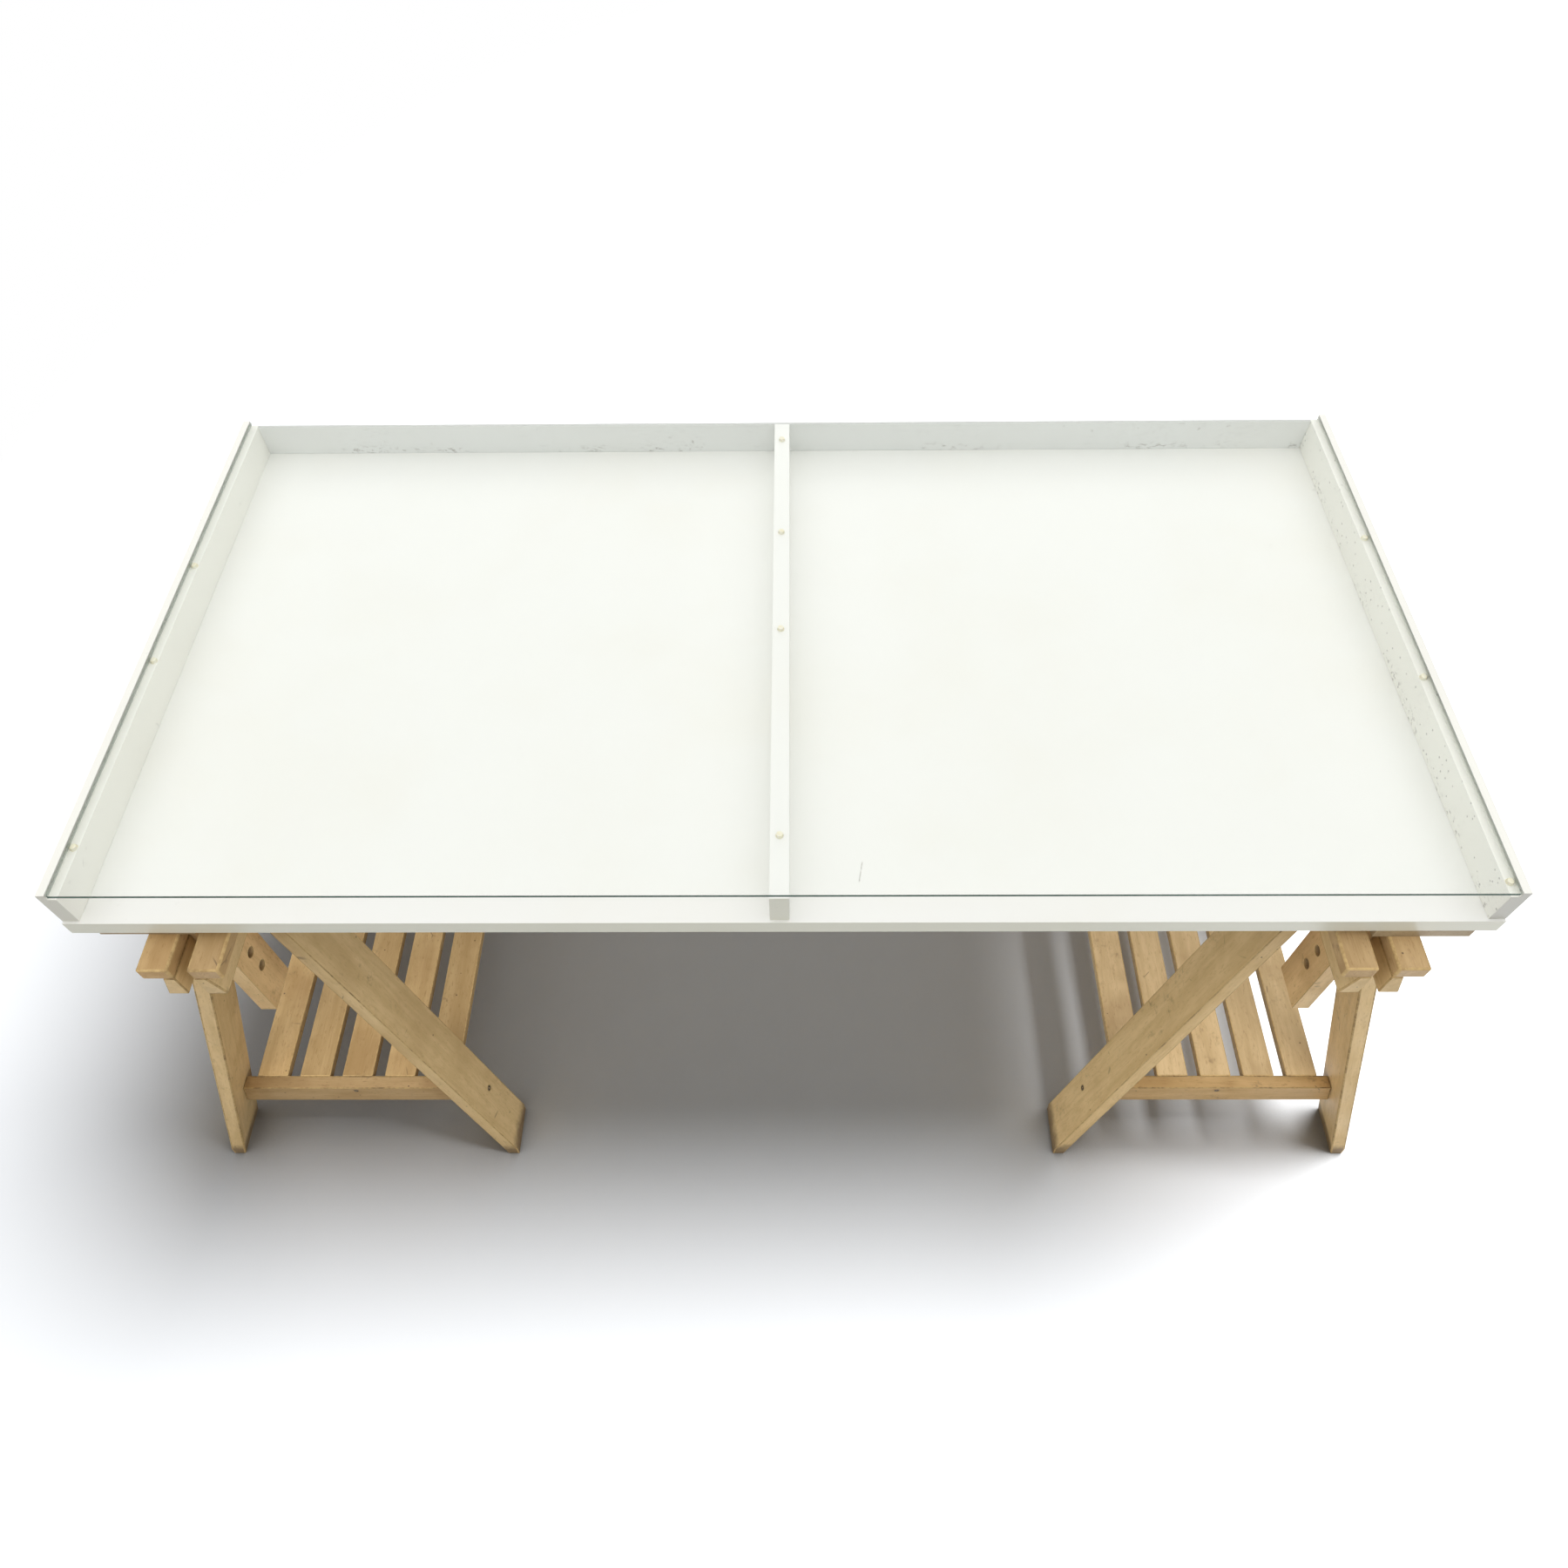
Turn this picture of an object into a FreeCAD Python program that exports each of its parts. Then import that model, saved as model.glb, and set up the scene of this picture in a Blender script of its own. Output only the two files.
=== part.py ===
"""Trestle table: a glazed display tray on two splayed trestles of adjustable height.

Millimetres, +Z up, X along the table, the front towards -Y.  The origin is on the floor,
under the middle of the whole table's box.
"""
import FreeCAD, Part
import os
import Sketcher

doc = FreeCAD.newDocument("trestle_table")

# Driving dimensions: alias, value, meaning
SIZES = [
    ("tray_width", 1500, "tray over its side walls"),
    ("tray_depth", 747, "tray from its open front to the back wall's outer face"),
    ("panel_thick", 21, "tray floor board"),
    ("wall_thick", 18, "side walls"),
    ("wall_height", 55, "side walls above the floor board"),
    ("back_thick", 4, "back wall, as high as the rebate, so that the glass lies over it"),
    ("wall_setback", 3, "front ends of side walls and divider behind the floor board's edge"),
    ("ledge_width", 9, "width of the rebate that carries the glass"),
    ("ledge_drop", 8, "depth of that rebate below the wall's top"),
    ("divider_thick", 20.5, "middle divider"),
    ("glass_thick", 4, "loose glass top"),
    ("glass_clear", 2, "room beside the glass, and from its back edge to the tray's back"),
    ("bumper_dia", 8.4, "foot of a glass bumper"),
    ("bumper_crown_dia", 6.6, "top of a glass bumper"),
    ("bumper_height", 3.5, "bumper between ledge and glass"),
    ("left_bumper_start", 61, "first bumper on the left ledge from the wall's front end"),
    ("left_bumper_end", 270, "last bumper on the left ledge from the back wall"),
    ("right_bumper_start", 17, "first bumper on the right ledge from the wall's front end"),
    ("right_bumper_end", 231, "last bumper on the right ledge from the back wall"),
    ("divider_bumper_start", 74, "first divider bumper from the front end of the divider"),
    ("divider_bumper_end", 34, "last divider bumper from the back wall"),
    ("cleat_width", 103, "packing boards between tray and outer head rails"),
    ("cleat_thick", 13, "their thickness"),
    ("cleat_length", 650, "their length along the head rails"),
    ("left_cleat_setback", 5, "the left one's front end behind the tray's front"),
    ("right_cleat_setback", 0, "the right one's front end behind the tray's front"),
    ("cleat_overlap", 8, "inner edges of both packing boards past the trestles' middle"),
    ("trestle_inset", 117, "middle of each trestle from the tray's end"),
    ("trestle_length", 700, "head and base rails"),
    ("head_overhang", 38, "rail ends in front of the tray"),
    ("head_top", 698, "head rails' top above the floor, lowest setting"),
    ("head_rail_width", 34, "head rail across"),
    ("head_rail_height", 19, "head rail upright"),
    ("post_thick", 20, "sliding post across the trestle"),
    ("post_width", 54, "sliding post along the trestle"),
    ("post_length", 224, "sliding post upright"),
    ("post_inset", 52, "post from the rail ends"),
    ("peg_hole_dia", 13, "peg holes in the posts"),
    ("peg_hole_pitch", 35, "peg hole spacing"),
    ("peg_hole_rise", 69, "lowest peg hole above the post's lower end"),
    ("slide_clear", 0.5, "room on each side of a post between the base rails"),
    ("base_rail_height", 39, "base rails under the head"),
    ("base_rail_top_width", 12, "base rail across its top"),
    ("spacer_length", 60, "block that ties the two base rails"),
    ("spacer_gap", 1, "room between a post and the block beside it"),
    ("splay_angle", 15, "legs' lean across the trestle, degrees"),
    ("rake_angle", 6.8, "legs' lean along the trestle, degrees"),
    ("leg_thick", 20, "leg board thickness"),
    ("leg_width", 70, "leg board width"),
    ("leg_top_clear", 1, "leg tops below the head rails"),
    ("foot_inset", 15, "feet from the rail ends"),
    ("foot_trim", 4, "upright trim of a foot's outer edge, measured across the foot"),
    ("shelf_rail_rise", 100, "shelf rails above the floor"),
    ("shelf_rail_height", 49, "shelf rails upright"),
    ("shelf_rail_thick", 19, "shelf rails along the trestle"),
    ("shelf_rail_inset", 65, "shelf rails from the rail ends"),
    ("slat_width", 45, "shelf slat"),
    ("slat_thick", 14, "shelf slat"),
    ("slat_gap", 18, "space between slats"),
]
SLAT_COUNT = 5
# Places of the bumpers between the first and the last of a row, as shares of that run
LEFT_BUMPERS = (0, 0.62, 1)
RIGHT_BUMPERS = (0, 0.54, 1)
DIVIDER_BUMPERS = (0, 0.454, 0.714, 1)
PEG_HOLES = 2

sheet = doc.addObject("Spreadsheet::Sheet", "Sizes")
for row, (alias, value, meaning) in enumerate(SIZES, start=1):
    sheet.set(f"A{row}", str(value))
    sheet.setAlias(f"A{row}", alias)
    sheet.set(f"B{row}", meaning)
doc.recompute()


def size(alias):
    """Expression for one cell of the sheet."""
    return f"Sizes.{alias}"


# Middle of each trestle from the middle of the table
TRESTLE_OFFSET = f"({size('tray_width')} / 2 - {size('trestle_inset')})"

# Heights above the floor
BASE_TOP = f"({size('head_top')} - {size('head_rail_height')})"
BASE_BOTTOM = f"({BASE_TOP} - {size('base_rail_height')})"
LEG_TOP = f"({BASE_TOP} - {size('leg_top_clear')})"
SHELF_TOP = f"({size('shelf_rail_rise')} + {size('shelf_rail_height')})"
TRAY_UNDERSIDE = f"({size('head_top')} + {size('cleat_thick')})"
TRAY_FLOOR = f"({TRAY_UNDERSIDE} + {size('panel_thick')})"
LEDGE_TOP = f"({TRAY_FLOOR} + {size('wall_height')} - {size('ledge_drop')})"
GLASS_UNDERSIDE = f"({LEDGE_TOP} + {size('bumper_height')})"

# Places along the depth
HEAD_FRONT = f"(-({size('tray_depth')} + {size('head_overhang')}) / 2)"
TRAY_FRONT = f"({HEAD_FRONT} + {size('head_overhang')})"
TRAY_BACK = f"({TRAY_FRONT} + {size('tray_depth')})"
TRESTLE_MIDDLE = f"({HEAD_FRONT} + {size('trestle_length')} / 2)"
WALL_FRONT = f"({TRAY_FRONT} + {size('wall_setback')})"
WALL_LENGTH = f"({size('tray_depth')} - {size('wall_setback')})"
DIVIDER_LENGTH = f"({WALL_LENGTH} - {size('back_thick')})"
GLASS_LENGTH = f"({WALL_LENGTH} - {size('glass_clear')})"

# Runs of the two leans, and the legs' sizes measured level
SPLAY_RUN = f"tan({size('splay_angle')} * 1deg)"
RAKE_RUN = f"tan({size('rake_angle')} * 1deg)"
LEG_ACROSS = f"({size('leg_thick')} / cos({size('splay_angle')} * 1deg))"
LEG_ALONG = f"({size('leg_width')} / cos({size('rake_angle')} * 1deg))"
SLOT_HALF = f"({size('post_thick')} / 2 + {size('slide_clear')})"

SIDES = {"left": -1, "right": 1}
ENDS = {"front": -1, "back": 1}
subparts = []


def leg_inner(height):
    """Distance from the trestle's middle to a leg's inner face at a height."""
    return f"({SLOT_HALF} + {size('base_rail_top_width')} + ({BASE_TOP} - {height}) * {SPLAY_RUN})"


def place(item, x="0", y="0", z="0", axis=None, angle=0):
    """Set an object's turn, then bind its position to expressions."""
    turn = FreeCAD.Rotation()
    if axis is not None:
        turn = FreeCAD.Rotation(axis, angle)
    item.Placement = FreeCAD.Placement(FreeCAD.Vector(), turn)
    for name, value in (("x", x), ("y", y), ("z", z)):
        item.setExpression(f".Placement.Base.{name}", value)


def bind(item, **sizes):
    """Bind properties of an object to expressions."""
    for name, value in sizes.items():
        item.setExpression(name, value)


def keep(item, label):
    """Name a sub-part and list it for writing."""
    item.Label = label
    subparts.append(item)
    return item


def board(label, across, along, upright, x, y, z):
    """A square-cut board, placed by its low corner."""
    box = doc.addObject("Part::Box", label)
    bind(box, Length=across, Width=along, Height=upright)
    place(box, x, y, z)
    return keep(box, label)


def tapered_blank(label, low, high, bottom, top, along, x, y):
    """A piece with level ends whose low and high rectangles differ.

    low and high give (x from, x to) at bottom and top; along gives the ends along the depth,
    (low from, low to, high from, high to), all measured from the point x, y.
    """
    wedge = doc.addObject("Part::Wedge", label)
    bind(wedge, Ymin=bottom, Ymax=top, Xmin=low[0], Xmax=low[1], X2min=high[0], X2max=high[1],
         Zmin=f"-({along[1]})", Zmax=f"-({along[0]})", Z2min=f"-({along[3]})", Z2max=f"-({along[2]})")
    place(wedge, x, y, "0", FreeCAD.Vector(1, 0, 0), 90)
    return wedge


def tapered_board(label, low, high, bottom, top, along, x, y):
    """A tapered piece that is a sub-part as it stands."""
    return keep(tapered_blank(label, low, high, bottom, top, along, x, y), label)


def origin_plane(body, role):
    """One of a body's own base planes."""
    return next(plane for plane in body.Origin.OriginFeatures if plane.Role == role)


def outline_sketch(body, role, points):
    """A closed outline on a base plane, each corner tied to the origin by expressions."""
    sketch = body.newObject("Sketcher::SketchObject", f"{body.Name}_outline")
    sketch.AttachmentSupport = [(origin_plane(body, role), "")]
    sketch.MapMode = "FlatFace"
    corners = [FreeCAD.Vector(*start, 0) for _, _, start in points]
    count = len(corners)
    for index in range(count):
        sketch.addGeometry(Part.LineSegment(corners[index], corners[(index + 1) % count]), False)
    for index in range(count):
        sketch.addConstraint(Sketcher.Constraint("Coincident", index, 2, (index + 1) % count, 1))
    for index, (across, upright, start) in enumerate(points):
        reaches = (("DistanceX", across, start[0], -2), ("DistanceY", upright, start[1], -1))
        for kind, value, begin, axis in reaches:
            if value == "0":
                sketch.addConstraint(Sketcher.Constraint("PointOnObject", index, 1, axis))
                continue
            number = sketch.addConstraint(Sketcher.Constraint(kind, -1, 1, index, 1, begin))
            sketch.setExpression(f"Constraints[{number}]", value)
    return sketch


def corner(across, upright):
    """An outline corner: two expressions and the start values that they give now."""
    start = tuple(float(doc.Sizes.evalExpression(value)) for value in (across, upright))
    return (across, upright, start)


def pad(body, sketch, length):
    """Thicken a sketch evenly to both sides of its plane."""
    feature = body.newObject("PartDesign::Pad", f"{body.Name}_pad")
    feature.Profile = sketch
    feature.Midplane = True
    feature.setExpression("Length", length)
    sketch.Visibility = False
    return feature


def side_wall(side):
    """Side wall with the rebate along its inner top edge that carries the glass."""
    label = f"{side}_tray_wall"
    body = doc.addObject("PartDesign::Body", label)
    ledge = f"{size('wall_height')} - {size('ledge_drop')}"
    lip = f"{size('wall_thick')} - {size('ledge_width')}"
    outline = [corner("0", "0"), corner(size("wall_thick"), "0"), corner(size("wall_thick"), ledge),
               corner(lip, ledge), corner(lip, size("wall_height")), corner("0", size("wall_height"))]
    pad(body, outline_sketch(body, "XZ_Plane", outline), WALL_LENGTH)
    angle = 0 if side == "left" else 180
    place(body, f"{SIDES[side]} * {size('tray_width')} / 2", f"({WALL_FRONT} + {TRAY_BACK}) / 2", TRAY_FLOOR,
          FreeCAD.Vector(0, 0, 1), angle)
    return keep(body, label)


def bumpers():
    """Small clear bumpers on both ledges and on the divider, under the glass."""
    group = []
    half_ledge = f"({size('tray_width')} / 2 - {size('wall_thick')} + {size('ledge_width')} / 2)"
    rows = [(f"-{half_ledge}", LEFT_BUMPERS, "left"), (half_ledge, RIGHT_BUMPERS, "right"),
            ("0", DIVIDER_BUMPERS, "divider")]
    for x, shares, row in rows:
        for share in shares:
            dot = doc.addObject("Part::Cone", "bumper")
            bind(dot, Radius1=f"{size('bumper_dia')} / 2", Radius2=f"{size('bumper_crown_dia')} / 2",
                 Height=size("bumper_height"))
            start = size(f"{row}_bumper_start")
            run = f"({DIVIDER_LENGTH} - {start} - {size(f'{row}_bumper_end')})"
            place(dot, x, f"{WALL_FRONT} + {start} + {share} * {run}", LEDGE_TOP)
            group.append(dot)
    compound = doc.addObject("Part::Compound", "glass_bumpers")
    compound.Links = group
    return keep(compound, "glass_bumpers")


def tray():
    """Floor board, three walls, divider, glass with its bumpers, and the boards that pack it up."""
    half_width = f"{size('tray_width')} / 2"
    board("tray_floor", size("tray_width"), size("tray_depth"), size("panel_thick"),
          f"-{half_width}", TRAY_FRONT, TRAY_UNDERSIDE)
    for side in SIDES:
        side_wall(side)
    ledge = f"{size('wall_height')} - {size('ledge_drop')}"
    board("back_tray_wall", f"{size('tray_width')} - 2 * {size('wall_thick')}", size("back_thick"), ledge,
          f"-{half_width} + {size('wall_thick')}", f"{TRAY_BACK} - {size('back_thick')}", TRAY_FLOOR)
    board("tray_divider", size("divider_thick"), DIVIDER_LENGTH, ledge,
          f"-{size('divider_thick')} / 2", WALL_FRONT, TRAY_FLOOR)
    glass_half = (f"({half_width} - {size('wall_thick')} + {size('ledge_width')}"
                  f" - {size('glass_clear')})")
    board("glass_top", f"2 * {glass_half}", GLASS_LENGTH, size("glass_thick"),
          f"-{glass_half}", WALL_FRONT, GLASS_UNDERSIDE)
    bumpers()
    for side, sign in SIDES.items():
        low = size("cleat_overlap") if sign > 0 else f"({size('cleat_width')} - {size('cleat_overlap')})"
        board(f"{side}_tray_cleat", size("cleat_width"), size("cleat_length"), size("cleat_thick"),
              f"{sign} * {TRESTLE_OFFSET} - {low}",
              f"{TRAY_FRONT} + {size(f'{side}_cleat_setback')}", size("head_top"))


def post(side, end):
    """Sliding post, drilled across for the pegs that set the height."""
    label = f"{side}_{end}_post"
    body = doc.addObject("PartDesign::Body", label)
    outline = [corner("0", "0"), corner(size("post_width"), "0"),
               corner(size("post_width"), size("post_length")), corner("0", size("post_length"))]
    blank = pad(body, outline_sketch(body, "YZ_Plane", outline), size("post_thick"))
    doc.recompute()
    blank_volume = blank.Shape.Volume
    drill = body.newObject("Sketcher::SketchObject", f"{label}_drill")
    drill.AttachmentSupport = [(origin_plane(body, "YZ_Plane"), "")]
    drill.MapMode = "FlatFace"
    across, upright, start = corner(f"{size('post_width')} / 2", size("peg_hole_rise"))
    radius = corner(f"{size('peg_hole_dia')} / 2", "0")[2][0]
    drill.addGeometry(Part.Circle(FreeCAD.Vector(*start, 0), FreeCAD.Vector(0, 0, 1), radius), False)
    for kind, value, begin in (("DistanceX", across, start[0]), ("DistanceY", upright, start[1])):
        number = drill.addConstraint(Sketcher.Constraint(kind, -1, 1, 0, 3, begin))
        drill.setExpression(f"Constraints[{number}]", value)
    number = drill.addConstraint(Sketcher.Constraint("Diameter", 0, 2 * radius))
    drill.setExpression(f"Constraints[{number}]", size("peg_hole_dia"))
    hole = body.newObject("PartDesign::Pocket", f"{label}_hole")
    hole.Profile = drill
    hole.Midplane = True
    hole.setExpression("Length", f"{size('post_thick')} * 2")
    doc.recompute()
    if hole.Shape.Volume >= blank_volume:
        raise RuntimeError(f"{label}: the peg hole cut nothing")
    row = body.newObject("PartDesign::LinearPattern", f"{label}_holes")
    row.Originals = [hole]
    row.Direction = (drill, ["V_Axis"])
    row.setExpression("Length", f"{size('peg_hole_pitch')} * {PEG_HOLES - 1}")
    row.Occurrences = PEG_HOLES
    body.Tip = row
    sign = ENDS[end]
    near = f"({size('trestle_length')} / 2 - {size('post_inset')})"
    low = f"-{near}" if sign < 0 else f"({near} - {size('post_width')})"
    place(body, f"{SIDES[side]} * {TRESTLE_OFFSET}", f"{TRESTLE_MIDDLE} + {low}",
          f"{size('head_top')} - {size('post_length')}")
    return keep(body, label)


def head(side):
    """Rising head: two rails with a post between them near each end."""
    middle = f"{SIDES[side]} * {TRESTLE_OFFSET}"
    for name, facing in (("outer", SIDES[side]), ("inner", -SIDES[side])):
        half_post = f"{size('post_thick')} / 2"
        low = half_post if facing > 0 else f"-({half_post} + {size('head_rail_width')})"
        board(f"{side}_{name}_head_rail", size("head_rail_width"), size("trestle_length"),
              size("head_rail_height"), f"{middle} + {low}", HEAD_FRONT, BASE_TOP)
    for end in ENDS:
        post(side, end)


def mirrored(low, high, sign):
    """A span on the positive or the negative side of the middle."""
    return (low, high) if sign > 0 else (f"-({high})", f"-({low})")


def leg(side, name, facing, end):
    """Leg board that leans across and along the trestle, its foot's outer edge trimmed upright."""
    sign = ENDS[end]
    label = f"{side}_{name}_{end}_leg"
    middle = f"{SIDES[side]} * {TRESTLE_OFFSET}"
    outer = f"({leg_inner('0')} + {LEG_ACROSS})"
    foot = mirrored(leg_inner("0"), outer, facing)
    top = mirrored(leg_inner(LEG_TOP), f"{leg_inner(LEG_TOP)} + {LEG_ACROSS}", facing)
    reach = f"({size('trestle_length')} / 2 - {size('foot_inset')})"
    reach_top = f"({reach} - {LEG_TOP} * {RAKE_RUN})"
    along = mirrored(f"{reach} - {LEG_ALONG}", reach, sign)
    along_top = mirrored(f"{reach_top} - {LEG_ALONG}", reach_top, sign)
    blank = tapered_blank(f"{label}_blank", foot, top, "0", LEG_TOP, along + along_top,
                          middle, TRESTLE_MIDDLE)
    saw = doc.addObject("Part::Box", f"{label}_saw")
    bind(saw, Length=f"2 * {size('foot_trim')}", Width=f"3 * {LEG_ALONG}",
         Height=f"2 * {size('foot_trim')} / {SPLAY_RUN}")
    start = mirrored(f"({outer} - {size('foot_trim')})", f"({outer} + {size('foot_trim')})", facing)[0]
    first = mirrored(f"({reach} - 2 * {LEG_ALONG})", f"({reach} + {LEG_ALONG})", sign)[0]
    place(saw, f"{middle} + {start}", f"{TRESTLE_MIDDLE} + {first}", "0")
    trimmed = doc.addObject("Part::Cut", label)
    trimmed.Base = blank
    trimmed.Tool = saw
    return keep(trimmed, label)


def base(side):
    """Standing base: splayed legs on two bevelled rails, with a slatted shelf low down."""
    middle = f"{SIDES[side]} * {TRESTLE_OFFSET}"
    half_length = f"{size('trestle_length')} / 2"
    ends = (f"-{half_length}", half_length)
    for name, facing in (("outer", SIDES[side]), ("inner", -SIDES[side])):
        tapered_board(f"{side}_{name}_base_rail",
                      mirrored(SLOT_HALF, leg_inner(BASE_BOTTOM), facing),
                      mirrored(SLOT_HALF, leg_inner(BASE_TOP), facing),
                      BASE_BOTTOM, BASE_TOP, ends + ends, middle, TRESTLE_MIDDLE)
        for end in ENDS:
            leg(side, name, facing, end)
    post_back = f"({half_length} - {size('post_inset')} - {size('post_width')} - {size('spacer_gap')})"
    for end, sign in ENDS.items():
        first = mirrored(f"({post_back} - {size('spacer_length')})", post_back, sign)[0]
        board(f"{side}_{end}_spacer", f"2 * {SLOT_HALF}", size("spacer_length"), size("base_rail_height"),
              f"{middle} - {SLOT_HALF}", f"{TRESTLE_MIDDLE} + {first}", BASE_BOTTOM)
    rail_face = f"({half_length} - {size('shelf_rail_inset')})"
    rail_back = f"({rail_face} - {size('shelf_rail_thick')})"
    low = leg_inner(size("shelf_rail_rise"))
    high = leg_inner(SHELF_TOP)
    for end, sign in ENDS.items():
        span = mirrored(rail_back, rail_face, sign)
        tapered_board(f"{side}_{end}_shelf_rail", (f"-{low}", low), (f"-{high}", high),
                      size("shelf_rail_rise"), SHELF_TOP, span + span, middle, TRESTLE_MIDDLE)
    pitch = f"({size('slat_width')} + {size('slat_gap')})"
    for index in range(SLAT_COUNT):
        from_middle = f"{index - (SLAT_COUNT - 1) / 2} * {pitch} - {size('slat_width')} / 2"
        board(f"{side}_shelf_slat_{index + 1}", size("slat_width"), f"2 * {rail_back}", size("slat_thick"),
              f"{middle} + {from_middle}", f"{TRESTLE_MIDDLE} - {rail_back}",
              f"{SHELF_TOP} - {size('slat_thick')}")


def check_and_write():
    """Stop on any failed object, then write each sub-part to its own file."""
    doc.recompute()
    for item in doc.Objects:
        if "Invalid" in item.State or "Error" in item.State:
            raise RuntimeError(f"{item.Label}: {item.State}")
    os.makedirs("parts", exist_ok=True)
    for item in subparts:
        if item.Shape.isNull() or not item.Shape.isValid():
            raise RuntimeError(f"{item.Label}: bad shape")
        item.Shape.exportStep(f"parts/{item.Label}.step")
    print(len(subparts), "sub-parts written")


tray()
for side_name in SIDES:
    head(side_name)
    base(side_name)
check_and_write()
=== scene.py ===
"""Looks of the trestle table: finishes, fixings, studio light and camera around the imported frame."""

import logging
import math
from dataclasses import dataclass, field
from enum import Enum
from typing import ClassVar, NamedTuple

import bmesh
import bpy
from mathutils import Matrix, Vector


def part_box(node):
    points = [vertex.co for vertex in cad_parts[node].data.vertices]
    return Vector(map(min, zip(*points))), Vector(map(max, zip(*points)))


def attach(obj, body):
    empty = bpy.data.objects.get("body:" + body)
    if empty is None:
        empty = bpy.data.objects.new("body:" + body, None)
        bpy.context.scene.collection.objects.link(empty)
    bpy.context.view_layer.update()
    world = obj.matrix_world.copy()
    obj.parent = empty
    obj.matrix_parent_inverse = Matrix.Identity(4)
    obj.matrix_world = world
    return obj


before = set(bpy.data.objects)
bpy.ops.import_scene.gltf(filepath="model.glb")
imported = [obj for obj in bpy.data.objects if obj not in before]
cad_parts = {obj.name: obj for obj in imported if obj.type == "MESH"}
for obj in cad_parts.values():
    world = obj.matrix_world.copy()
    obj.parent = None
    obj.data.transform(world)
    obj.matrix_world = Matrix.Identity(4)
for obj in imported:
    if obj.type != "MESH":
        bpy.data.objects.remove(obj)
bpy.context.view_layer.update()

MM = 0.001
LEG_LEAN = math.radians(15)
LEG_RAKE = math.radians(6.8)
DOT_CORE = 0.7
DOT_FADE = 0.03
LINE_CORE = 0.4
WELD_REACH = 0.01 * MM
FLAT_ANGLE = math.radians(1)
EASED_ANGLE = math.radians(40)
EASED_FACETS = 3
LOG = logging.getLogger("trestle_table")

Colour = tuple[float, float, float]
Triple = tuple[float, float, float]
Socket = bpy.types.NodeSocket
Material = bpy.types.Material
Piece = bpy.types.Object


class Side(Enum):
    """The two trestles, with the sign of X where each stands."""

    LEFT = -1
    RIGHT = 1

    @property
    def word(self) -> str:
        """The side's word in node names."""
        return self.name.lower()

    @property
    def base(self) -> str:
        """The body that this side's standing base belongs to."""
        return f"{self.word}_base"


class End(Enum):
    """The two ends of a trestle, with the sign of Y where each is."""

    FRONT = -1
    BACK = 1

    @property
    def word(self) -> str:
        """The end's word in node names."""
        return self.name.lower()


class Row(Enum):
    """Boards on the table's outside or inside of a trestle."""

    OUTER = 1
    INNER = -1

    @property
    def word(self) -> str:
        """The row's word in node names."""
        return self.name.lower()


class Grain(Enum):
    """Direction in which a board's grain runs."""

    ALONG_X = "x"
    ALONG_Y = "y"
    ALONG_Z = "z"
    ALONG_LEG = "leg"


class Pattern(NamedTuple):
    """A noise: waves in a metre, number of finer layers and their weight."""

    scale: float
    detail: float
    weight: float


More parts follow.
